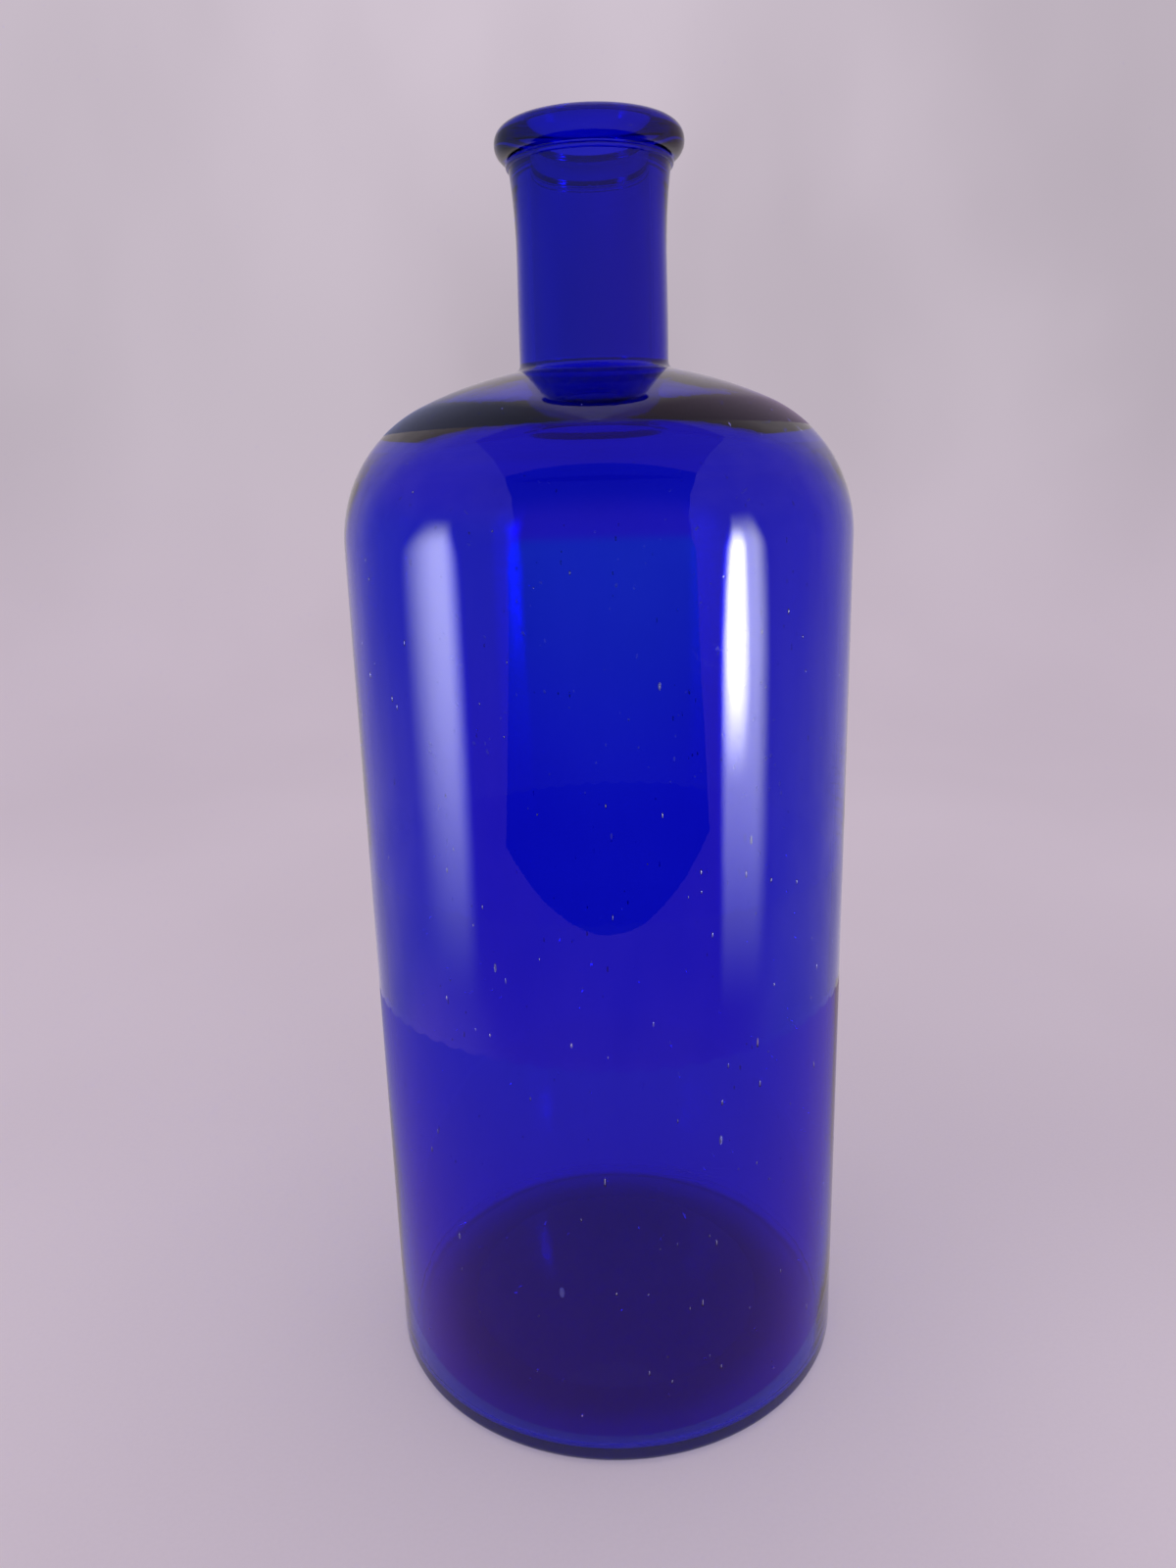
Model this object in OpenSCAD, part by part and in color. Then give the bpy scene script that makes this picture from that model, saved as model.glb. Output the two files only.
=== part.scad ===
// Large free-blown apothecary bottle in thick cobalt glass.
// Two gathers of glass: the blown body, whose cut neck end stands up inside
// the lip, and the lip, which was laid round that end and tooled to a round
// ring with a thin bead under it. The bottle is open: it has no stopper.
// The frame: the base rests on z = 0, the bottle's axis is Z.

/* [Body] */
// Height from the table to the top of the rim
total_h = 332; // [270:1:400]
// Outer diameter of the straight barrel
body_d = 132; // [110:1:160]
// Thickness of the glass in the barrel
wall_t = 3; // [2.4:0.1:5]
// Height of the shoulder and the neck together, above the straight barrel
top_h = 97.5; // [80:0.5:120]
// Diameter at which the shoulder's outer round runs into its domed top
shoulder_top_d = 57.8; // [54:0.1:66]
// Radius of the dome that the top of the shoulder is
crown_r = 105; // [90:1:160]
// Thickness of the glass at the top of the dome, by the neck
crown_t = 5.6; // [4:0.1:7]
// Radius of the shoulder's round on the inside
in_knuckle_r = 30; // [27:0.5:32]

/* [Base] */
// Radius of the outside corner between the base and the barrel
heel_r = 3; // [2:0.1:5]
// Width of the flat ring that the bottle rests on
rest_ring_w = 9; // [5:0.5:14]
// Height that the middle of the base is pushed up
push_up_h = 5; // [3:0.5:10]
// Thickness of the glass in the base
base_t = 3.5; // [3:0.1:8]
// Radius of the inside corner between the floor and the barrel
floor_corner_r = 3.5; // [3:0.1:12]

/* [Neck] */
// Diameter of the mouth and of the bore through the neck
mouth_d = 30; // [24:0.1:36]
// Thickness of the glass in the neck
neck_t = 3.8; // [3:0.1:4.6]
// Radius of the outside fillet between the shoulder and the neck
root_fillet_r = 2.5; // [2:0.1:6]
// Radius of the inside round between the shoulder and the bore
bore_root_r = 6; // [4:0.5:8]
// Height over which the neck opens out under the lip
flare_h = 14; // [8:0.5:16]
// Radius of the curve by which the neck opens out
flare_r = 90; // [60:1:160]
// Share of the neck's glass that stands up inside the lip
neck_end_share = 0.45; // [0.3:0.05:0.6]

/* [Lip] */
// Radius of the ring's round section
ring_r = 3.75; // [3:0.05:4.5]
// How far the ring stands out from the neck at the joint
ring_over = 3.4; // [2:0.1:4.4]
// Radius of the thin bead under the ring
bead_r = 0.7; // [0.4:0.05:1]
// Height of the crease between the bead and the ring
crease_h = 0.3; // [0.1:0.1:1]
// Radius of the rim's inside edge
rim_r = 1.2; // [0.6:0.1:1.6]
// Thickness of the lip's glass above the neck's end
lip_cover_t = 3.5; // [2.5:0.1:4.5]

/* [Hidden] */
$fn = 160;
COBALT = [0.05, 0.06, 0.62];
COBALT_LIP = [0.09, 0.10, 0.56];

// Two arcs that run into each other cross by this much, to share a clean edge
seam = 0.001;

body_r = body_d / 2;
bore_r = mouth_d / 2;
neck_r = bore_r + neck_t;

// Shoulder, outside: the knuckle, its outer round, runs into the crown, its top
shoulder_z = total_h - top_h;
knuckle_x = shoulder_top_d / 2;
knuckle_r = body_r - knuckle_x;
crown_reach = crown_r - knuckle_r + seam;
crown_z = shoulder_z - sqrt(pow(crown_reach, 2) - pow(knuckle_x, 2));

// Shoulder, inside: a knuckle and a crown of its own, because the glass grows
// thicker towards the neck
in_side_x = body_r - wall_t;
in_knuckle_x = in_side_x - in_knuckle_r;
in_rise = crown_z + crown_r - crown_t - shoulder_z;
in_shared_r = in_knuckle_r - seam;
in_crown_r = (pow(in_knuckle_x, 2) + pow(in_rise, 2) - pow(in_shared_r, 2))
    / (2 * (in_rise - in_shared_r));
in_crown_z = shoulder_z + in_rise - in_crown_r;

// Neck root: one arc outside the crown, one inside it
root_x = neck_r + root_fillet_r;
root_z = above(crown_z, crown_r + root_fillet_r - seam, root_x);
bore_root_x = bore_r + bore_root_r;
bore_root_z = above(in_crown_z, in_crown_r + bore_root_r - seam, bore_root_x);

// Joint between the neck's end and the lip
lip_h = 2 * ring_r + crease_h + 2 * bead_r;
joint_z = total_h - lip_h;
flare_z = joint_z - flare_h;
joint_r = neck_r + flare_r - sqrt(pow(flare_r, 2) - pow(flare_h, 2));
neck_end_r = bore_r + neck_end_share * (joint_r - bore_r);
neck_end_z = total_h - lip_cover_t;
ring_x = joint_r + ring_over - ring_r;

// Base: a shallow dome pushed up inside the resting ring
rest_r = body_r - heel_r - rest_ring_w;
dome_r = (pow(rest_r, 2) + pow(push_up_h, 2)) / (2 * push_up_h);
dome_z = push_up_h - dome_r;
floor_r = dome_r + base_t;
corner_x = in_side_x - floor_corner_r;
corner_reach = floor_r + floor_corner_r - seam;
corner_z = dome_z + sqrt(pow(corner_reach, 2) - pow(corner_x, 2));
floor_edge_x = corner_x * floor_r / corner_reach;

// Height of a point at radius x that is reach away from a centre at height z
function above(z, reach, x) = z + sqrt(pow(reach, 2) - pow(x, 2));

// A round of radius r about x, z in the half section
module round_at(x, z, r) {
    translate([x, z]) circle(r = r);
}

// A block of the half section between two corners
module block(x0, z0, x1, z1) {
    translate([x0, z0]) square([x1 - x0, z1 - z0]);
}

// A crown of radius r about height z, inside its run-in to a knuckle about x
module crown_section(x, z, r) {
    lean = atan2(shoulder_z - z, x);
    beyond = 2 * r;
    intersection() {
        round_at(0, z, r);
        polygon([
            [0, z],
            [beyond * cos(lean), z + beyond * sin(lean)],
            [0, z + beyond]
        ]);
    }
}

// Barrel above z0, out to side_x, and the shoulder: a knuckle, and a crown of
// radius crown about height z
module vessel_section(z0, side_x, knuckle, z, crown) {
    x = side_x - knuckle;
    block(0, z0, side_x, shoulder_z);
    intersection() {
        round_at(x, shoulder_z, knuckle);
        block(0, z0, side_x, shoulder_z + knuckle);
    }
    crown_section(x, z, crown);
}

// What an arc of radius r about x, z adds between the axis and a crown of
// radius crown about height low
module root_section(x, z, r, low, crown) {
    share = crown / (crown + r);
    difference() {
        polygon([
            [0, low + crown - r],
            [x * share, low + (z - low) * share],
            [x, z],
            [0, z]
        ]);
        round_at(x, z, r);
    }
}

// Neck up to the joint, opened out under the lip, and its end inside the lip
module neck_section() {
    block(0, root_z - root_fillet_r, neck_r, flare_z + flare_h / 2);
    difference() {
        block(0, flare_z, joint_r, joint_z);
        round_at(neck_r + flare_r, flare_z, flare_r);
    }
    block(0, flare_z, neck_end_r, neck_end_z);
}

// The solid outline of the body, before it is hollowed
module outer_section() {
    difference() {
        union() {
            block(0, 0, body_r - heel_r, 2 * heel_r);
            round_at(body_r - heel_r, heel_r, heel_r);
            vessel_section(heel_r, body_r, knuckle_r, crown_z, crown_r);
        }
        round_at(0, dome_z, dome_r);
    }
    root_section(root_x, root_z, root_fillet_r, crown_z, crown_r);
    neck_section();
}

// The space inside, from the floor to the rim
module hollow_section() {
    difference() {
        union() {
            block(0, 0, floor_edge_x, 2 * corner_z);
            vessel_section(corner_z, in_side_x, in_knuckle_r, in_crown_z, in_crown_r);
        }
        round_at(0, dome_z, floor_r);
    }
    round_at(corner_x, corner_z, floor_corner_r);
    root_section(bore_root_x, bore_root_z, bore_root_r, in_crown_z, in_crown_r);
    block(0, shoulder_z, bore_r, total_h);
}

// Glass of the lip: rim, ring and bead, less the room for the neck's end
module lip_section() {
    difference() {
        union() {
            block(bore_r, joint_z, joint_r, total_h - ring_r);
            block(bore_r + rim_r, joint_z + bead_r, ring_x, total_h);
            block(bore_r, joint_z + bead_r, ring_x, total_h - rim_r);
            round_at(bore_r + rim_r, total_h - rim_r, rim_r);
            round_at(ring_x, total_h - ring_r, ring_r);
            round_at(joint_r, joint_z + bead_r, bead_r);
        }
        block(0, joint_z - bead_r, neck_end_r, neck_end_z);
    }
}

// Base, barrel, shoulder and neck, blown from one gather
module blown_body() {
    color(COBALT) rotate_extrude() difference() {
        outer_section();
        hollow_section();
    }
}

// Second gather, laid round the neck's end and tooled to a ring and a bead
module applied_lip() {
    color(COBALT_LIP) rotate_extrude() lip_section();
}

blown_body();
applied_lip();
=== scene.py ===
"""A large free-blown apothecary bottle in cobalt glass, on a pale studio sweep.

The blown body and the applied lip are lathed skins with the slight waves of
hand-worked glass. Seeds, the tiny drawn-out bubbles in the wall, are scattered
by a Geometry Nodes tree. All lengths are metres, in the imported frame.
"""

import math
import random

import bmesh
import bpy
from bpy.props import FloatProperty, FloatVectorProperty, IntProperty, PointerProperty
from mathutils import Matrix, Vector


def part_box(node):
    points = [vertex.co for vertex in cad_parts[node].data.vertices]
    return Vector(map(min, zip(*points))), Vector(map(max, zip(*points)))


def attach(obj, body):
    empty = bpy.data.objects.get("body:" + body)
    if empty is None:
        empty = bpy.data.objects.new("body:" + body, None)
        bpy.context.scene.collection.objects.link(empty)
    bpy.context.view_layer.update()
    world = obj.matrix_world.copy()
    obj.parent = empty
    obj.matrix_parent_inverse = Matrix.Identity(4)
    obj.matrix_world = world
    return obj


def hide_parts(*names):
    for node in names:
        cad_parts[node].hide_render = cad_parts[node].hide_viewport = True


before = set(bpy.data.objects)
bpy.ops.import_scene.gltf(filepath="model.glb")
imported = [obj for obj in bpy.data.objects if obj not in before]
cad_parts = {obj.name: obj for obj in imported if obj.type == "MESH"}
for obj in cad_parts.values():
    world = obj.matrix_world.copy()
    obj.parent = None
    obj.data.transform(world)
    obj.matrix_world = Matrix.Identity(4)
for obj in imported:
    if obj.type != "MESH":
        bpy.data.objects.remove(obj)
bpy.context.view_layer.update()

bl_info = {
    "name": "Cobalt Apothecary Bottle",
    "version": (1, 0, 0),
    "blender": (4, 5, 0),
    "location": "View3D > Sidebar > Bottle",
    "description": "Makes the glass, the seeds and the studio of a cobalt apothecary bottle",
    "category": "Object",
}

BODY_LOW, BODY_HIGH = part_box("blown_body")
LIP_LOW, LIP_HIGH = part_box("applied_lip")
MM = 0.001
FUSED = "fused"
AXIS_GAP = 1e-7
FUSED_GAP = 0.01 * MM
LAMP_REACH = 0.226
LAMP_PEAK = 40.0
HEEL_R = 3 * MM
REST_RING_W = 9 * MM
PUSH_UP = 5 * MM
BASE_T = 3.5 * MM
FLOOR_CORNER_R = 3.5 * MM
IN_KNUCKLE_R = 30 * MM
BORE_ROOT_R = 6 * MM
NECK_WAIST = 0.2 * MM
CLOTH_LIFT = 0.6 * MM


# Settings


class BottleGlass(bpy.types.PropertyGroup):
    """The cobalt glass that both pieces are made of."""

    passed: FloatVectorProperty(
        name="Passed Colour",
        description="Colour that the glass lets through best",
        default=(0.0, 0.09, 0.962),
        min=0,
        max=1,
        size=3,
        subtype="COLOR",
    )
    depth: FloatProperty(
        name="Depth of Colour",
        description="How strongly each metre of glass takes up the other colours",
        default=900,
        min=0,
    )
    bend: FloatProperty(
        name="Refractive Index",
        description="How strongly the glass bends light",
        default=1.52,
        min=1,
        max=2,
    )
    polish: FloatProperty(
        name="Polish Roughness",
        description="Roughness of the fire-polished skin between marks",
        default=0.012,
        min=0,
        max=0.15,
    )


class BottleBody(bpy.types.PropertyGroup):
    """Sizes of the blown body."""

    barrel_r: FloatProperty(
        name="Barrel Radius",
        description="Outer radius of the straight barrel",
        default=(BODY_HIGH.x - BODY_LOW.x) / 2,
        unit="LENGTH",
    )
    wall: FloatProperty(
        name="Wall",
        description="Thickness of the glass in the barrel",
        default=3 * MM,
        unit="LENGTH",
    )
    shoulder_z: FloatProperty(
        name="Shoulder Height",
        description="Height at which the barrel turns into the shoulder",
        default=234.5 * MM,
        unit="LENGTH",
    )
    shoulder_top_r: FloatProperty(
        name="Shoulder Top Radius",
        description="Radius at which the shoulder's round runs into the crown",
        default=28.9 * MM,
        unit="LENGTH",
    )
    crown_r: FloatProperty(
        name="Crown Radius",
        description="Radius of the dome that the top of the shoulder is",
        default=105 * MM,
        unit="LENGTH",
    )
    crown_t: FloatProperty(
        name="Crown Thickness",
        description="Thickness of the glass at the top of the crown",
        default=5.6 * MM,
        unit="LENGTH",
    )
    root_r: FloatProperty(
        name="Neck Root Round",
        description="Radius of the fillet between the shoulder and the neck",
        default=2.5 * MM,
        unit="LENGTH",
    )
    neck_r: FloatProperty(
        name="Neck Radius",
        description="Outer radius of the neck",
        default=18.8 * MM,
        unit="LENGTH",
    )
    bore_r: FloatProperty(
        name="Bore Radius",
        description="Radius of the bore through neck and mouth",
        default=15 * MM,
        unit="LENGTH",
    )
    ripple: FloatProperty(
        name="Ripple",
        description="Greatest depth of the waves that blowing left in the skin",
        default=0.12 * MM,
        unit="LENGTH",
    )
    segments: IntProperty(
        name="Segments",
        description="Number of steps around the axis",
        default=192,
        min=32,
        max=256,
    )


class BottleLip(bpy.types.PropertyGroup):
    """Sizes of the applied lip."""

    ring_r: FloatProperty(
        name="Ring Section Radius",
        description="Radius of the ring's round section",
        default=3.75 * MM,
        unit="LENGTH",
    )
    bead_r: FloatProperty(
        name="Bead Radius",
        description="Radius of the thin bead under the ring",
        default=0.7 * MM,
        unit="LENGTH",
    )
    joint_r: FloatProperty(
        name="Joint Radius",
        description="Outer radius of the neck where the lip starts",
        default=19.895 * MM,
        unit="LENGTH",
    )
    neck_end_r: FloatProperty(
        name="Neck End Radius",
        description="Radius of the neck's end inside the lip",
        default=17.203 * MM,
        unit="LENGTH",
    )
    rim_r: FloatProperty(
        name="Rim Round",
        description="Radius of the rim's inside edge",
        default=1.2 * MM,
        unit="LENGTH",
    )
    ripple: FloatProperty(
        name="Ripple",
        description="Greatest depth of the waves that tooling left in the ring",
        default=0.16 * MM,
        unit="LENGTH",
    )


class BottleSeeds(bpy.types.PropertyGroup):
    """The tiny bubbles drawn out in the wall."""

    density: FloatProperty(
        name="Density",
        description="Number of seeds on a square metre of wall",
        default=3200,
        min=0,
    )
    half_width: FloatProperty(
        name="Half Width",
        description="Half the width of a middling seed",
        default=0.22 * MM,
        unit="LENGTH",
    )
    half_height: FloatProperty(
        name="Half Height",
        description="Half the height of a middling seed",
        default=0.75 * MM,
        unit="LENGTH",
    )
    depth: FloatProperty(
        name="Depth",
        description="How far below the outer skin the shallowest seeds lie",
        default=0.3 * MM,
        unit="LENGTH",
    )
    seed: IntProperty(
        name="Random Seed",
        description="Fixed number that settles where the seeds lie",
        default=11,
    )


class BottleStudio(bpy.types.PropertyGroup):
    """The sweep, the lights and the camera."""

    sweep: FloatVectorProperty(
        name="Sweep Colour",
        description="Colour of the cloth sweep as it is lit",
        default=(0.50, 0.44, 0.50),
        min=0,
        max=1,
        size=3,
        subtype="COLOR",
    )
    lens: FloatProperty(
        name="Lens",
        description="Focal length in millimetres",
        default=26.06,
    )
    back: FloatProperty(
        name="Camera Distance",
        description="How far in front of the axis the camera stands",
        default=307.1 * MM,
        unit="LENGTH",
    )
    height: FloatProperty(
        name="Camera Height",
        description="Height of the camera above the floor",
        default=249.3 * MM,
        unit="LENGTH",
    )
    turn: FloatVectorProperty(
        name="Camera Turn",
        description="Pan, tilt below level and roll",
        default=(math.radians(0.84), math.radians(14.94), math.radians(-1.566)),
        size=3,
        subtype="EULER",
        unit="ROTATION",
    )


# Node trees


class Wire:
    """A value in a node tree. Arithmetic on it adds the Math nodes."""

    def __init__(self, nodes, socket):
        self.nodes = nodes
        self.socket = socket

    def maths(self, operation, *values):
        return self.nodes.add("ShaderNodeMath", {"operation": operation}, enumerate(values))

    def __add__(self, other):
        return self.maths("ADD", self, other)

    __radd__ = __add__

    def __sub__(self, other):
        return self.maths("SUBTRACT", self, other)

    def __rsub__(self, other):
        return self.maths("SUBTRACT", other, self)

    def __mul__(self, other):
        return self.maths("MULTIPLY", self, other)

    __rmul__ = __mul__

    def __truediv__(self, other):
        return self.maths("DIVIDE", self, other)

    def __pow__(self, other):
        return self.maths("POWER", self, other)

    def above(self, other):
        return self.maths("GREATER_THAN", self, other)

    def size(self):
        return self.maths("ABSOLUTE", self)

    def rise(self, start, end):
        """From 0 at start to 1 at end, eased at both."""
        return self.nodes.add(
            "ShaderNodeMapRange",
            {"interpolation_type": "SMOOTHSTEP"},
            {"Value": self, "From Min": start, "From Max": end},
        )


class Nodes:
    """Adds nodes to one tree, which it empties first."""

    def __init__(self, tree):
        self.tree = tree
        tree.nodes.clear()

    def add(self, kind, settings=(), values=(), out=0):
        """One node: its settings first, then its sockets. Returns the output as a Wire."""
        node = self.tree.nodes.new(kind)
        for name, value in dict(settings).items():
            setattr(node, name, value)
        for key, value in dict(values).items():
            if isinstance(value, Wire):
                self.tree.links.new(value.socket, node.inputs[key])
            else:
                node.inputs[key].default_value = value
        return Wire(self, node.outputs[out]) if len(node.outputs) else node

    def mix(self, share, a, b):
        """The colour a, turned into b as share goes from 0 to 1."""
        return self.add(
            "ShaderNodeMix",
            {"data_type": "RGBA"},
            {0: share, 6: a, 7: b},
            out=2,
        )

    def place(self, scale=(1, 1, 1), shift=(0, 0, 0)):
        """Object coordinates, stretched and shifted."""
        spot = self.add("ShaderNodeTexCoord", out="Object")
        return self.add(
            "ShaderNodeMapping",
            {},
            {"Vector": spot, "Scale": scale, "Location": shift},
        )

    def noise(self, place, scale, detail=2.0, rough=0.5):
        return self.add(
            "ShaderNodeTexNoise",
            {},
            {"Vector": place, "Scale": scale, "Detail": detail, "Roughness": rough},
        )

    def split(self, vector):
        """The X, Y and Z of a vector."""
        first = self.add("ShaderNodeSeparateXYZ", {}, {0: vector})
        return [Wire(self, s) for s in first.socket.node.outputs]


def new_material(name):
    material = bpy.data.materials.new(name)
    material.use_nodes = True
    return material, Nodes(material.node_tree)


# Sections and skins


def arc(x, z, r, start, end, steps):
    """Points on a round about x, z, from one angle to another in degrees."""
    turns = [math.radians(start + (end - start) * i / steps) for i in range(steps + 1)]
    return [(x + r * math.cos(a), z + r * math.sin(a)) for a in turns]


def line(x0, z0, x1, z1, steps):
    """Points on a straight line."""
    return [
        (x0 + (x1 - x0) * i / steps, z0 + (z1 - z0) * i / steps)
        for i in range(steps + 1)
    ]


def joined(*runs):
    """Runs of points end to end, without the doubles where they meet."""
    points = []
    for run in runs:
        for x, z in run:
            if not points or math.dist(points[-1], (x, z)) > AXIS_GAP:
                points.append((x, z))
    return points


def eased(value, start, end):
    """From 0 at start to 1 at end, eased at both."""
    t = min(max((value - start) / (end - start), 0), 1)
    return t * t * (3 - 2 * t)


def waves(seed, count):
    """A smooth ripple round and along the bottle, between -1 and 1."""
    draw = random.Random(seed)
    terms = [
        (
            draw.randint(1, 5),
            draw.uniform(15, 90) * draw.choice((-1, 1)),
            draw.uniform(0, 2 * math.pi),
        )
        for _ in range(count)
    ]

    def ripple(angle, z):
        return sum(math.sin(n * angle + k * z + p) for n, k, p in terms) / count

    return ripple


def lathe(name, profile, segments, inset, fused):
    """A closed skin turned round Z from a profile that runs with the glass on
    its left. inset(i, angle, z) moves a point away from the axis. The faces
    between the profile's points i and i + 1 are marked where fused(i) is true."""
    closed = profile[0][0] > AXIS_GAP
    verts, rings = [], []
    for i, (x, z) in enumerate(profile):
        start = len(verts)
        if x <= AXIS_GAP:
            verts.append((0, 0, z))
            rings.append([start] * segments)
            continue
        for k in range(segments):
            angle = 2 * math.pi * k / segments
            r = x + inset(i, angle, z)
            verts.append((r * math.cos(angle), r * math.sin(angle), z))
        rings.append(list(range(start, start + segments)))
    faces, marks = [], []
    for i in range(len(rings) - (not closed)):
        low, high = rings[i], rings[(i + 1) % len(rings)]
        for k in range(segments):
            n = (k + 1) % segments
            face = [low[k], low[n], high[n], high[k]]
            faces.append(list(dict.fromkeys(face)))
            marks.append(float(fused(i)))
    mesh = bpy.data.meshes.new(name)
    mesh.from_pydata(verts, [], faces)
    mesh.attributes.new(FUSED, "FLOAT", "FACE").data.foreach_set("value", marks)
    mesh.polygons.foreach_set("use_smooth", [True] * len(faces))
    mesh.update()
    return mesh


def sharpen(mesh, angle):
    """Marks the edges that turn more than the angle, so that they stay crisp."""
    mesh.set_sharp_from_angle(angle=math.radians(angle))


def shown(mesh, *materials):
    piece = bpy.data.objects.new(mesh.name, mesh)
    bpy.context.scene.collection.objects.link(piece)
    for material in materials:
        mesh.materials.append(material)
    return piece


def body_profile(sizes, lip):
    """The whole section of the body, from the middle of the base's underside
    up the outside, over the neck's end and down the inside. Returns the points,
    and the places where the fused joint starts and ends and the inside starts."""
    heel, push, floor_corner = HEEL_R, PUSH_UP, FLOOR_CORNER_R
    barrel, wall, shoulder = sizes.barrel_r, sizes.wall, sizes.shoulder_z
    knuckle_x = sizes.shoulder_top_r
    knuckle = barrel - knuckle_x
    crown_z = shoulder - math.sqrt((sizes.crown_r - knuckle) ** 2 - knuckle_x**2)
    lean = math.degrees(math.atan2(shoulder - crown_z, knuckle_x))
    joint_z = LIP_LOW.z
    top = BODY_HIGH.z

    rest = barrel - heel - REST_RING_W
    dome = (rest**2 + push**2) / (2 * push)
    dome_z = push - dome
    under = math.degrees(math.asin(-dome_z / dome))
    waist = NECK_WAIST
    outer_root_x = sizes.neck_r + waist + sizes.root_r
    reach = sizes.crown_r + sizes.root_r
    outer_root_z = crown_z + math.sqrt(reach**2 - outer_root_x**2)
    root_lean = math.degrees(math.acos(outer_root_x / reach))
    neck = [
        (
            sizes.neck_r
            + waist * math.cos(math.pi * t * 1.15)
            + (lip.joint_r - sizes.neck_r + waist * 0.9) * max(0, (t - 0.5) / 0.5) ** 2.2,
            outer_root_z + (joint_z - outer_root_z) * t,
        )
        for t in [i / 24 for i in range(1, 24)]
    ]
    outside = joined(
        arc(0, dome_z, dome, 90, under, 16),
        line(rest, 0, barrel - heel, 0, 8),
        arc(barrel - heel, heel, heel, -90, 0, 12),
        line(barrel, heel, barrel, shoulder, 64),
        arc(knuckle_x, shoulder, knuckle, 0, lean, 36),
        arc(0, crown_z, sizes.crown_r, lean, root_lean, 12),
        arc(outer_root_x, outer_root_z, sizes.root_r, root_lean + 180, 180, 12),
        neck,
        [(lip.joint_r, joint_z)],
    )
    joint = joined(
        line(lip.joint_r, joint_z, lip.neck_end_r, joint_z, 3),
        line(lip.neck_end_r, joint_z, lip.neck_end_r, top, 4),
        line(lip.neck_end_r, top, sizes.bore_r, top, 3),
    )
    bore_root, in_knuckle = BORE_ROOT_R, IN_KNUCKLE_R
    bore_root_x = sizes.bore_r + bore_root
    in_knuckle_x = barrel - wall - in_knuckle
    rise = crown_z + sizes.crown_r - sizes.crown_t - shoulder
    in_crown = (rise**2 + in_knuckle_x**2 - in_knuckle**2) / (2 * (rise - in_knuckle))
    in_crown_z = shoulder + rise - in_crown
    in_lean = math.degrees(math.atan2(shoulder - in_crown_z, in_knuckle_x))
    in_reach = in_crown + bore_root
    bore_root_z = in_crown_z + math.sqrt(in_reach**2 - bore_root_x**2)
    in_root_lean = math.degrees(math.acos(bore_root_x / in_reach))
    floor = dome + BASE_T
    corner_x = barrel - wall - floor_corner
    corner_z = dome_z + math.sqrt((floor + floor_corner) ** 2 - corner_x**2)
    corner_lean = math.degrees(math.acos(corner_x / (floor + floor_corner)))
    inside = joined(
        line(sizes.bore_r, top, sizes.bore_r, bore_root_z, 24),
        arc(bore_root_x, bore_root_z, bore_root, 180, 180 + in_root_lean, 14),
        arc(0, in_crown_z, in_crown, in_root_lean, in_lean, 8),
        arc(in_knuckle_x, shoulder, in_knuckle, in_lean, 0, 36),
        line(barrel - wall, shoulder, barrel - wall, corner_z, 60),
        arc(corner_x, corner_z, floor_corner, 0, corner_lean - 180, 20),
        arc(0, dome_z, floor, corner_lean, 90, 14),
    )
    points = joined(outside, joint, inside)
    first = points.index(outside[-1])
    return points, first, first + len(joint) - 1


def lip_profile(sizes, body):
    """The whole section of the lip, and the place where its fused joint starts."""
    gap = FUSED_GAP
    top = LIP_HIGH.z
    ring_x = LIP_HIGH.x - sizes.ring_r
    ring_z = top - sizes.ring_r
    joint_z = LIP_LOW.z + gap
    bead_z = LIP_LOW.z + sizes.bead_r
    meet = math.degrees(math.acos((sizes.joint_r - ring_x) / sizes.ring_r))
    neck_end_z = BODY_HIGH.z + gap
    outside = joined(
        [(sizes.joint_r, joint_z)],
        arc(sizes.joint_r, bead_z, sizes.bead_r, -88, 90, 12),
        arc(ring_x, ring_z, sizes.ring_r, -meet, 90, 44),
        line(ring_x, top, body.bore_r + sizes.rim_r, top, 6),
        arc(body.bore_r + sizes.rim_r, top - sizes.rim_r, sizes.rim_r, 90, 180, 10),
        line(body.bore_r, top - sizes.rim_r, body.bore_r, neck_end_z, 3),
    )
    joint = joined(
        line(body.bore_r, neck_end_z, sizes.neck_end_r + gap, neck_end_z, 3),
        line(sizes.neck_end_r + gap, neck_end_z, sizes.neck_end_r + gap, joint_z, 4),
        line(sizes.neck_end_r + gap, joint_z, sizes.joint_r, joint_z, 3)[:-1],
    )
    points = joined(outside, joint)
    return points, points.index(outside[-1])


# Glass


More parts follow.
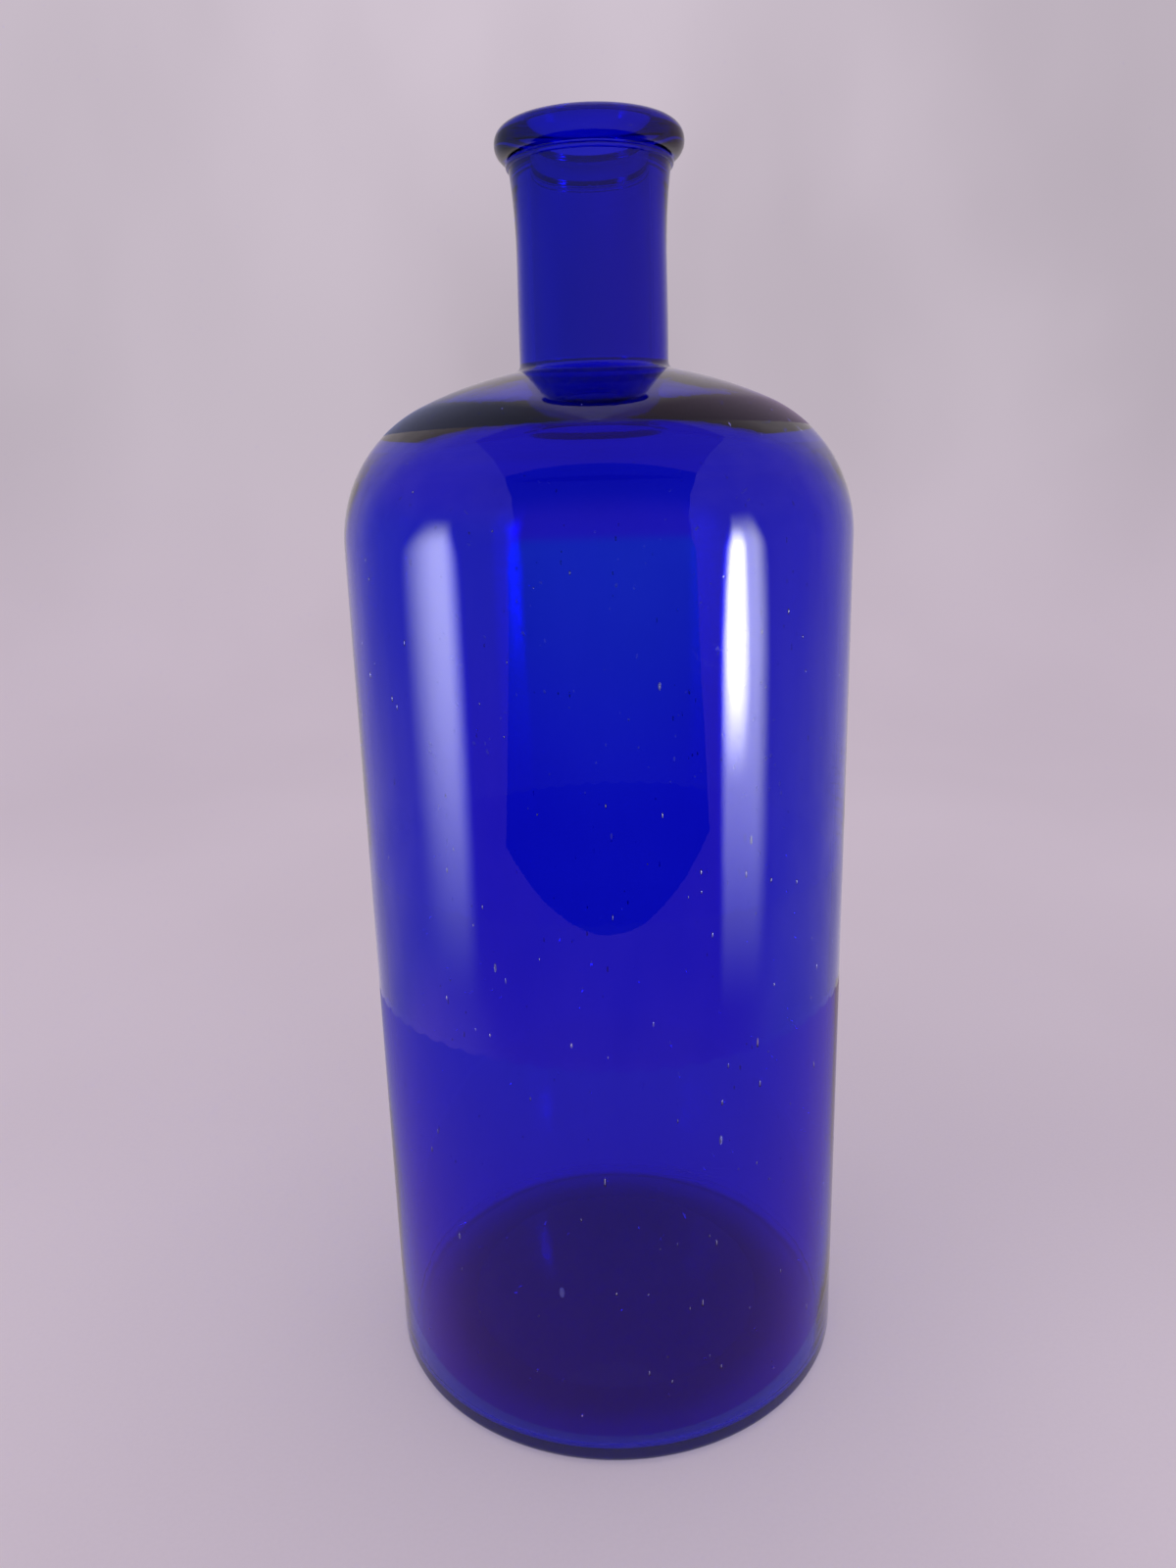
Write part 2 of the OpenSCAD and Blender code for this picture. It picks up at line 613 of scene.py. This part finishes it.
def make_glass(name, glass, worn):
    """Cobalt glass with the ripple, pits and scratches of hand-worked ware.
    worn is the height below which the base is frosted by standing."""
    material, nodes = new_material(name)
    plain = nodes.place()
    drawn = nodes.place(scale=(1, 1, 0.3))
    cords = nodes.noise(drawn, 60, 3, 0.55)
    swell = nodes.noise(nodes.place(scale=(1, 1, 0.45)), 28, 1)
    peel = nodes.noise(plain, 420, 2)
    cells = nodes.add(
        "ShaderNodeTexVoronoi", {}, {"Vector": plain, "Scale": 520}, out="Distance"
    )
    pick = Wire(nodes, cells.socket.node.outputs["Color"])
    chosen = nodes.split(pick)[0].above(0.9)
    pits = chosen * (1 - cells.rise(0.08, 0.2))

    hairs = nodes.add(
        "ShaderNodeTexWave",
        {"wave_type": "BANDS", "bands_direction": "DIAGONAL"},
        {
            "Vector": nodes.place(scale=(1, 1, 3.2), shift=(0.02, 0.01, 0.04)),
            "Scale": 60,
            "Distortion": 7,
            "Detail": 3,
            "Detail Scale": 1.4,
        },
        out="Fac",
    )
    patch = nodes.noise(nodes.place(shift=(0.31, 0.17, 0.05)), 24, 2).rise(0.62, 0.72)
    scratches = hairs.rise(0.985, 0.999) * patch
    haze = nodes.noise(plain, 16, 4, 0.6).rise(0.5, 0.8)

    x, y, height = nodes.split(plain)
    beneath = (1 - height.rise(2.1 * worn, 2.3 * worn)) * (
        1 - ((x * x + y * y) ** 0.5).rise(62.6 * MM, 63.4 * MM)
    )
    stood = beneath * (0.8 + 0.2 * nodes.noise(plain, 90, 3))
    rough = (
        glass.polish
        + 0.012 * haze
        + 0.22 * scratches
        + 0.12 * pits
        + 0.5 * stood
    )
    relief = 3.4 * swell + 0.8 * cords + 0.02 * peel - 0.12 * pits - 0.03 * scratches
    bump = nodes.add(
        "ShaderNodeBump",
        {},
        {"Strength": 1.0, "Distance": 0.05 * MM, "Height": relief},
    )
    tint = nodes.mix(cords.rise(0.35, 0.7), (0.90, 0.92, 0.985, 1), (1, 1, 1, 1))
    # The neck and lip are tinted darker than the barrel.
    tint = nodes.mix(height.rise(0.268, 0.282), tint, (0.8, 0.7, 0.82, 1))
    skin = nodes.add(
        "ShaderNodeBsdfPrincipled",
        {},
        {
            "Base Color": tint,
            "Roughness": rough,
            "IOR": glass.bend,
            "Transmission Weight": 1.0,
            "Normal": bump,
        },
    )
    fused = nodes.add("ShaderNodeAttribute", {"attribute_name": FUSED}, out="Fac")
    through = nodes.add("ShaderNodeBsdfTransparent")
    surface = nodes.add("ShaderNodeMixShader", {}, {0: fused, 1: skin, 2: through})
    depth = nodes.add(
        "ShaderNodeVolumeAbsorption",
        {},
        {"Color": (*glass.passed, 1), "Density": glass.depth},
    )
    nodes.add("ShaderNodeOutputMaterial", {}, {"Surface": surface, "Volume": depth})
    return material


def make_seed_skin(name):
    """The bright inside of a bubble: it throws the light back."""
    material, nodes = new_material(name)
    cloud = nodes.noise(nodes.place(), 900, 2)
    tint = nodes.mix(cloud, (0.62, 0.66, 0.95, 1), (0.98, 0.98, 1, 1))
    skin = nodes.add(
        "ShaderNodeBsdfPrincipled",
        {},
        {"Base Color": tint, "Metallic": 1.0, "Roughness": 0.12 + 0.1 * cloud},
    )
    nodes.add("ShaderNodeOutputMaterial", {}, {"Surface": skin})
    return material


# Operators


class BOTTLE_OT_body(bpy.types.Operator):
    """Make the blown body: base, barrel, shoulder and neck"""

    bl_idname = "bottle.body"
    bl_label = "Make Blown Body"

    def execute(self, context):
        scene = context.scene
        sizes = scene.bottle_body
        points, first, last = body_profile(sizes, scene.bottle_lip)
        outer, inner = waves(3, 9), waves(8, 9)

        def inset(i, angle, z):
            calm = eased(z, 3 * MM, 25 * MM) * (1 - eased(z, 270 * MM, 300 * MM))
            if i <= first:
                return -sizes.ripple * calm * (1 + outer(angle, z)) / 2
            if i <= last:
                return 0
            return sizes.ripple * 2 * calm * (1 + inner(angle, z)) / 2

        mesh = lathe(
            "blown_body_glass",
            points,
            sizes.segments,
            inset,
            lambda i: first <= i < last,
        )
        sharpen(mesh, 50)
        piece = shown(mesh, make_glass("cobalt_glass", scene.bottle_glass, 2.4 * MM))
        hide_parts("blown_body")
        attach(piece, "root")
        return {"FINISHED"}


class BOTTLE_OT_lip(bpy.types.Operator):
    """Make the lip that was laid round the neck's end and tooled"""

    bl_idname = "bottle.lip"
    bl_label = "Make Applied Lip"

    def execute(self, context):
        scene = context.scene
        sizes = scene.bottle_lip
        points, first = lip_profile(sizes, scene.bottle_body)
        tooled = waves(21, 7)
        ring_z = LIP_HIGH.z - sizes.ring_r

        def inset(i, angle, z):
            if i >= first:
                return 0
            near = 1 - min(abs(z - ring_z) / sizes.ring_r, 1)
            out = eased(points[i][0], 19.9 * MM, 23 * MM)
            return -sizes.ripple * near * out * (1 + tooled(angle, 6 * z)) / 2

        mesh = lathe(
            "applied_lip_glass", points, scene.bottle_body.segments, inset,
            lambda i: i >= first,
        )
        sharpen(mesh, 50)
        piece = shown(mesh, make_glass("cobalt_lip_glass", scene.bottle_glass, 0.1 * MM))
        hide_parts("applied_lip")
        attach(piece, "root")
        return {"FINISHED"}


def seed_tree():
    """Geometry Nodes that scatter drawn-out bubbles under a skin."""
    tree = bpy.data.node_groups.new("seed_scatter", "GeometryNodeTree")
    nodes = Nodes(tree)
    sockets = {}
    for name, kind in (
        ("Skin", "NodeSocketGeometry"),
        ("Density", "NodeSocketFloat"),
        ("Half Width", "NodeSocketFloat"),
        ("Half Height", "NodeSocketFloat"),
        ("Depth", "NodeSocketFloat"),
        ("Random Seed", "NodeSocketInt"),
        ("Finish", "NodeSocketMaterial"),
    ):
        item = tree.interface.new_socket(name, in_out="INPUT", socket_type=kind)
        sockets[name] = item.identifier
    tree.interface.new_socket("Seeds", in_out="OUTPUT", socket_type="NodeSocketGeometry")
    given = nodes.add("NodeGroupInput").socket.node
    inputs = {s.name: Wire(nodes, s) for s in given.outputs if s.name}

    def random_value(low, high, offset):
        return nodes.add(
            "FunctionNodeRandomValue",
            {"data_type": "FLOAT"},
            {2: low, 3: high, "Seed": nodes.add(
                "ShaderNodeMath", {"operation": "ADD"}, {0: inputs["Random Seed"], 1: offset}
            )},
            out=1,
        )

    points = nodes.add(
        "GeometryNodeDistributePointsOnFaces",
        {"distribute_method": "RANDOM"},
        {"Mesh": inputs["Skin"], "Density": inputs["Density"], "Seed": inputs["Random Seed"]},
        out="Points",
    )
    normal = Wire(nodes, points.socket.node.outputs["Normal"])
    sunk = nodes.add(
        "ShaderNodeVectorMath",
        {"operation": "SCALE"},
        {0: normal, "Scale": -1 * inputs["Depth"] * random_value(1.0, 2.2, 1)},
    )
    points = nodes.add("GeometryNodeSetPosition", {}, {"Geometry": points, "Offset": sunk})
    across = nodes.add(
        "ShaderNodeVectorMath", {"operation": "CROSS_PRODUCT"}, {0: (0, 0, 1), 1: normal}
    )
    along = nodes.add(
        "ShaderNodeVectorMath", {"operation": "CROSS_PRODUCT"}, {0: normal, 1: across}
    )
    turned = nodes.add(
        "FunctionNodeAlignRotationToVector", {"axis": "Z"}, {"Vector": along}
    )
    shape = nodes.add(
        "GeometryNodeMeshUVSphere", {}, {"Segments": 8, "Rings": 6, "Radius": 1.0}
    )
    girth = random_value(0.25, 1.0, 2)
    girth = 0.45 + girth * girth * 1.0
    drawn = random_value(0.3, 1.3, 3)
    scale = nodes.add(
        "ShaderNodeCombineXYZ",
        {},
        {
            0: inputs["Half Width"] * girth,
            1: inputs["Half Width"] * girth,
            2: inputs["Half Height"] * girth * drawn,
        },
    )
    placed = nodes.add(
        "GeometryNodeInstanceOnPoints",
        {},
        {"Points": points, "Instance": shape, "Rotation": turned, "Scale": scale},
    )
    real = nodes.add("GeometryNodeRealizeInstances", {}, {0: placed})
    smooth = nodes.add("GeometryNodeSetShadeSmooth", {}, {0: real})
    finished = nodes.add(
        "GeometryNodeSetMaterial", {}, {"Geometry": smooth, "Material": inputs["Finish"]}
    )
    nodes.add("NodeGroupOutput", {}, {0: finished})
    return tree, sockets


class BOTTLE_OT_seeds(bpy.types.Operator):
    """Scatter the seeds in the wall of the body"""

    bl_idname = "bottle.seeds"
    bl_label = "Scatter Seeds"

    def execute(self, context):
        scene = context.scene
        sizes, seeds = scene.bottle_body, scene.bottle_seeds
        knuckle = sizes.barrel_r - sizes.shoulder_top_r
        bearing = joined(
            line(sizes.barrel_r, 14 * MM, sizes.barrel_r, sizes.shoulder_z, 24),
            arc(sizes.shoulder_top_r, sizes.shoulder_z, knuckle, 0, 78, 12),
        )
        mesh = lathe("seed_bearing", bearing, 64, lambda i, a, z: 0, lambda i: False)
        bearer = shown(mesh)
        tree, sockets = seed_tree()
        finish = make_seed_skin("bubble")
        scatter = bearer.modifiers.new("Scatter", "NODES")
        scatter.node_group = tree
        for name, value in (
            ("Density", seeds.density),
            ("Half Width", seeds.half_width),
            ("Half Height", seeds.half_height),
            ("Depth", seeds.depth),
            ("Random Seed", seeds.seed),
            ("Finish", finish),
        ):
            scatter[sockets[name]] = value
        held = bearer.evaluated_get(context.evaluated_depsgraph_get())
        made = bpy.data.meshes.new_from_object(held)
        if not made.polygons:
            raise RuntimeError("the seed scatter made nothing")
        made.name = "glass_seeds"
        self.blisters(made, sizes)
        bpy.data.objects.remove(bearer)
        piece = bpy.data.objects.new("glass_seeds", made)
        scene.collection.objects.link(piece)
        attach(piece, "root")
        return {"FINISHED"}

    def blisters(self, seeds, sizes):
        """Adds the few large bubbles: turn, height, half width and half height."""
        held = bmesh.new()
        held.from_mesh(seeds)
        for turn, height, wide, tall in (
            (-12, 52, 0.75, 1.6), (24, 92, 0.45, 1.3), (-38, 60, 0.4, 1.0),
            (31, 168, 0.35, 1.1), (-24, 139, 0.35, 1.2), (11, 206, 0.35, 0.9),
        ):
            angle = math.radians(turn)
            reach = sizes.barrel_r - wide * MM - 0.35 * MM
            spot = Matrix.Translation(
                (reach * math.sin(angle), -reach * math.cos(angle), height * MM)
            )
            size = Matrix.Diagonal((wide * MM, wide * 0.6 * MM, tall * MM, 1))
            bmesh.ops.create_uvsphere(
                held, u_segments=16, v_segments=12, radius=1,
                matrix=spot @ Matrix.Rotation(angle, 4, "Z") @ size,
            )
        for face in held.faces:
            face.smooth = True
        held.to_mesh(seeds)
        held.free()


def glossy_only(panel):
    """Leaves a light or a flag in reflections and in glass, but out of sight."""
    panel.visible_camera = False
    panel.visible_diffuse = False
    panel.visible_shadow = False
    panel.visible_volume_scatter = False


def panel_mesh(name, start, end, low, high, radius):
    """A strip bent round the bottle, between two turns from the camera's side
    in degrees and two heights, with a UV map that spans it."""
    wide, tall = 16, 8
    verts, faces = [], []
    for j in range(tall + 1):
        for i in range(wide + 1):
            a = math.radians(start + (end - start) * i / wide)
            z = low + (high - low) * j / tall
            verts.append((radius * math.sin(a), -radius * math.cos(a), z))
    for j in range(tall):
        for i in range(wide):
            k = j * (wide + 1) + i
            faces.append((k, k + wide + 1, k + wide + 2, k + 1))
    mesh = bpy.data.meshes.new(name)
    mesh.from_pydata(verts, [], faces)
    layer = mesh.uv_layers.new(name="across")
    for loop in mesh.loops:
        k = loop.vertex_index
        layer.data[loop.index].uv = (k % (wide + 1) / wide, k // (wide + 1) / tall)
    return mesh


def softbox(name, span, rise, halo, core=None):
    """A light bent round the bottle's front quarter. span is its turns from the
    camera's side in degrees, rise its heights. halo and core each hold four
    places across and four up, from 0 to 1, between which they grow and fade,
    and their strength."""
    material, nodes = new_material(name)
    u, v, _ = nodes.split(nodes.add("ShaderNodeUVMap", {"uv_map": "across"}))

    def patch(across, up, strength):
        mid = (across[1] + across[2]) / 2
        turn = (u - mid) / (1 - 0.5 * v.rise(up[1] - 0.1, up[3])) + mid
        wide = turn.rise(*across[:2]) * (1 - turn.rise(*across[2:]))
        tall = v.rise(*up[:2]) * (1 - v.rise(*up[2:]))
        return strength * wide * tall

    power = patch(*halo)
    if core:
        power = power + patch(*core)
    glow = nodes.add(
        "ShaderNodeEmission",
        {},
        {"Color": nodes.mix(power / LAMP_PEAK, (0, 0, 0, 1), (1, 1, 0.84, 1)),
         "Strength": LAMP_PEAK},
    )
    clear = nodes.add("ShaderNodeBsdfTransparent")
    lamp = nodes.add("ShaderNodeAddShader", {}, {0: glow, 1: clear})
    nodes.add("ShaderNodeOutputMaterial", {}, {"Surface": lamp})
    panel = shown(panel_mesh(name, *span, *rise, LAMP_REACH), material)
    glossy_only(panel)


class BOTTLE_OT_studio(bpy.types.Operator):
    """Set up the sweep, the soft lights and the camera"""

    bl_idname = "bottle.studio"
    bl_label = "Set Up Studio"

    def execute(self, context):
        scene = context.scene
        studio = scene.bottle_studio
        self.sweep(studio)
        softbox(
            "right_softbox", (43, 68), (0.04, 0.30),
            ((0.04, 0.2, 0.66, 1.0), (0.0, 0.65, 0.74, 1.0), 7.0),
            ((0.06, 0.28, 0.36, 0.62), (0.36, 0.6, 0.64, 0.9), 30.0),
        )
        softbox(
            "left_softbox", (-83, -51), (0.04, 0.30),
            ((0.0, 0.72, 0.74, 1.0), (0.0, 0.75, 0.78, 1.0), 7.8),
        )
        self.flag()
        self.room()
        self.world(scene, studio)
        self.camera(scene, studio)
        scene.view_settings.view_transform = "Standard"
        scene.view_settings.look = "None"
        scene.cycles.max_bounces = 24
        scene.cycles.transmission_bounces = 24
        scene.cycles.glossy_bounces = 8
        scene.cycles.transparent_max_bounces = 24
        return {"FINISHED"}

    def sweep(self, studio):
        """A seamless cloth sweep all round, floor and wall in one. It glows as the studio's
        light, with painted pools of light and painted shade on it, and no glow under the
        bottle, which is a painted contact shadow.
        """
        reach, bend, tall, low = 1.25, 0.5, 1.9, -0.1 * MM
        profile = joined(
            line(0, low, reach - bend, low, 10),
            arc(reach - bend, bend + low, bend, -90, 0, 16),
            line(reach, bend, reach, tall - bend, 4),
            arc(reach - bend, tall - bend, bend, 0, 90, 12),
            line(reach - bend, tall, 0, tall, 6),
        )
        mesh = lathe("studio_sweep", profile, 96, lambda i, a, z: 0, lambda i: False)
        mesh.flip_normals()
        material, nodes = new_material("cloth_sweep")
        place = nodes.place()
        # Soft noise that paints the light and shade of cloth folds on the flat sweep.
        painted_fold_shade = nodes.noise(nodes.place(scale=(1.2, 1, 0.7)), 2.2, 3, 0.45)
        weave = nodes.noise(place, 900, 2)
        x, y, height = nodes.split(place)
        lit = height.rise(0.0, 0.4)
        # near is 0 under the bottle, where the glow is taken away: a painted contact shadow.
        near = ((x * x + y * y) ** 0.5).rise(0.045, 0.064)

        def painted_light_pool(at_x, at_y, reach):
            """A painted pool of light on the cloth round a place."""
            far = ((x - at_x) * (x - at_x) + (y - at_y) * (y - at_y)) ** 0.5
            return 1 - far.rise(0.0, reach)

        # Painted shade on the cloth just in front of the bottle.
        front = (0 - y).rise(0.05, 0.2) * (1 - x.size().rise(0.08, 0.2))
        # Painted pools of light on the cloth to the bottle's right and left.
        painted_light_pools = 0.25 * painted_light_pool(0.2, -0.1, 0.2) + 0.2 * painted_light_pool(-0.23, -0.06, 0.2)
        # Painted light: the upper back wall brighter.
        top = 0.26 * painted_light_pool(-0.1, 1.1, 0.9) * height.rise(0.3, 0.9)
        shade = 0.9 + 0.2 * painted_fold_shade.rise(0.25, 0.75) + painted_light_pools + top - 0.1 * front
        tone = nodes.mix(shade * 0.5, (0, 0, 0, 1), tuple(2 * c for c in studio.sweep) + (1,))
        cloth = nodes.mix(weave * 0.3, (0.66, 0.62, 0.655, 1), (0.54, 0.5, 0.54, 1))
        dull = nodes.mix(lit, cloth, (0.12, 0.11, 0.12, 1))
        # The sweep glows more up the wall than on the floor, and not at all under the bottle,
        # where near paints a contact shadow.
        glow_share = near * (0.44 + 0.46 * lit)
        glow = nodes.mix(glow_share, (0, 0, 0, 1), tone)
        skin = nodes.add(
            "ShaderNodeBsdfPrincipled",
            {},
            {
                "Base Color": dull,
                "Roughness": 1.0,
                "Specular IOR Level": 0.0,
                "Emission Color": glow,
                "Emission Strength": 1.0,
            },
        )
        nodes.add("ShaderNodeOutputMaterial", {}, {"Surface": skin})
        material.cycles.emission_sampling = "NONE"
        shown(mesh, material)

    def flag(self):
        """A painted reflection of the open front of the studio, its dim ceiling
        and the dim cloth in front of the bottle: a glowing sheet which only polished glass
        shows."""
        rise = [
            (-0.43, 0.0), (-0.50, 0.12), (-0.56, 0.28), (-0.56, 0.46),
            (-0.48, 0.62), (-0.34, 0.74), (-0.17, 0.80), (0.05, 0.82),
        ]
        left, right = -0.39, 0.43
        verts = [(x, y, z) for y, z in rise for x in (left, right)]
        faces = [(2 * i, 2 * i + 1, 2 * i + 3, 2 * i + 2) for i in range(len(rise) - 1)]
        mesh = bpy.data.meshes.new("front_flag")
        mesh.from_pydata(verts, [], faces)
        material, nodes = new_material("dark_room")
        _, y, z = nodes.split(nodes.place())
        cloud = nodes.noise(nodes.place(), 5, 2)
        # Painted reflection: black low down, a bluish band of daylight above it, then dim
        # purple, dark higher up, and the dim ceiling overhead.
        painted_daylight = z.rise(0.04, 0.23) * (0.8 + 0.4 * cloud)
        tint = nodes.mix(painted_daylight, (0.0, 0.0, 0.0, 1), (0.06, 0.27, 0.5, 1))
        tint = nodes.mix(z.rise(0.26, 0.34), tint, (0.16, 0.07, 0.18, 1))
        tint = nodes.mix(z.rise(0.42, 0.62), tint, (0.03, 0.04, 0.1, 1))
        tint = nodes.mix(y.rise(-0.345, -0.335), tint, (0.22, 0.14, 0.24, 1))
        glow = nodes.add("ShaderNodeEmission", {}, {"Color": tint, "Strength": 1.0})
        nodes.add("ShaderNodeOutputMaterial", {}, {"Surface": glow})
        material.cycles.emission_sampling = "NONE"
        flag = shown(mesh, material)
        glossy_only(flag)
        flag.visible_transmission = False

    def room(self):
        """A painted reflection of the dim cloth, walls and ceiling all round, as polished
        glass shows them: a glowing shell seen only in reflections.
        """
        inner, foot, reach, bend, top = 0.075, 0.72, 0.75, 0.4, 0.95
        profile = joined(
            line(inner, CLOTH_LIFT, foot, CLOTH_LIFT, 4),
            line(foot, CLOTH_LIFT, reach, top - bend, 4),
            arc(reach - bend, top - bend, bend, 0, 90, 10),
            line(reach - bend, top, 0, top, 2),
        )
        material, nodes = new_material("dim_room")
        x, y, height = nodes.split(nodes.place())
        far = (x * x + y * y) ** 0.5
        side = (x / far).rise(-1, 1)
        cloud = nodes.noise(nodes.place(), 6, 2).rise(0.2, 0.8)
        # Painted light in the reflection: the walls cooler and bluish to the left, warmer to
        # the right.
        wall = nodes.mix(side, (0.27, 0.28, 0.46, 1), (0.38, 0.29, 0.42, 1))
        # The reflected cloth is painted brighter near the bottle and darker further off, and
        # neutral to the sides and back.
        cloth = nodes.mix(
            far.rise(0.16, 0.44), (0.50, 0.25, 0.46, 1), (0.28, 0.13, 0.27, 1)
        )
        cloth = nodes.mix((y / far).rise(-0.7, -0.1), cloth, (0.46, 0.39, 0.44, 1))
        # A painted pool of light on the reflected cloth to the bottle's left.
        left = ((x + 0.23) * (x + 0.23) + (y + 0.06) * (y + 0.06)) ** 0.5
        cloth = nodes.mix(1 - left.rise(0.03, 0.17), cloth, (0.68, 0.44, 0.7, 1))
        tone = nodes.mix(height.rise(0.0, 0.2), cloth, wall)
        # A dim ceiling, a brighter back and random darker blotches, all painted into the
        # reflection.
        tone = nodes.mix(height.rise(0.3, 0.65), tone, (0.42, 0.31, 0.44, 1))
        tone = nodes.mix((y / far).rise(0.2, 0.8), tone, (0.62, 0.55, 0.61, 1))
        tone = nodes.mix(0.22 * cloud, tone, (0.0, 0.0, 0.0, 1))
        glow = nodes.add("ShaderNodeEmission", {}, {"Color": tone, "Strength": 1.0})
        nodes.add("ShaderNodeOutputMaterial", {}, {"Surface": glow})
        material.cycles.emission_sampling = "NONE"
        mesh = lathe("dim_room", profile, 64, lambda i, a, z: 0, lambda i: False)
        room = shown(mesh, material)
        glossy_only(room)
        room.visible_transmission = False

    def world(self, scene, studio):
        world = bpy.data.worlds.new("studio_air")
        world.use_nodes = True
        nodes = Nodes(world.node_tree)
        air = nodes.add("ShaderNodeBackground", {}, {"Color": (*studio.sweep, 1)})
        nodes.add("ShaderNodeOutputWorld", {}, {"Surface": air})
        scene.world = world

    def camera(self, scene, studio):
        data = bpy.data.cameras.new("studio_camera")
        data.lens = studio.lens
        data.sensor_width = 36
        data.clip_start = 0.01
        camera = bpy.data.objects.new("studio_camera", data)
        scene.collection.objects.link(camera)
        pan, tilt, roll = studio.turn
        turn = (
            Matrix.Rotation(pan, 3, "Z")
            @ Matrix.Rotation(math.pi / 2 - tilt, 3, "X")
            @ Matrix.Rotation(roll, 3, "Z")
        )
        camera.rotation_euler = turn.to_euler()
        camera.location = (0, -studio.back, studio.height)
        scene.camera = camera


class BOTTLE_PT_panel(bpy.types.Panel):
    """Lists the settings and the steps that make the bottle"""

    bl_label = "Cobalt Bottle"
    bl_space_type = "VIEW_3D"
    bl_region_type = "UI"
    bl_category = "Bottle"

    def draw(self, context):
        for name, kind, steps in GROUPS:
            box = self.layout.box()
            settings = getattr(context.scene, name)
            for prop in kind.__annotations__:
                box.prop(settings, prop)
            for step in steps:
                box.operator(step)


GROUPS = (
    ("bottle_glass", BottleGlass, ()),
    ("bottle_body", BottleBody, ("bottle.body",)),
    ("bottle_lip", BottleLip, ("bottle.lip",)),
    ("bottle_seeds", BottleSeeds, ("bottle.seeds",)),
    ("bottle_studio", BottleStudio, ("bottle.studio",)),
)
OPERATORS = (BOTTLE_OT_body, BOTTLE_OT_lip, BOTTLE_OT_seeds, BOTTLE_OT_studio)


def register():
    for name, kind, _ in GROUPS:
        bpy.utils.register_class(kind)
        setattr(bpy.types.Scene, name, PointerProperty(type=kind))
    for kind in OPERATORS:
        bpy.utils.register_class(kind)
    bpy.utils.register_class(BOTTLE_PT_panel)


def unregister():
    bpy.utils.unregister_class(BOTTLE_PT_panel)
    for kind in reversed(OPERATORS):
        bpy.utils.unregister_class(kind)
    for name, kind, _ in reversed(GROUPS):
        delattr(bpy.types.Scene, name)
        bpy.utils.unregister_class(kind)


def main():
    register()
    bpy.ops.bottle.studio()
    bpy.ops.bottle.body()
    bpy.ops.bottle.lip()
    bpy.ops.bottle.seeds()


if __name__ == "__main__":
    main()
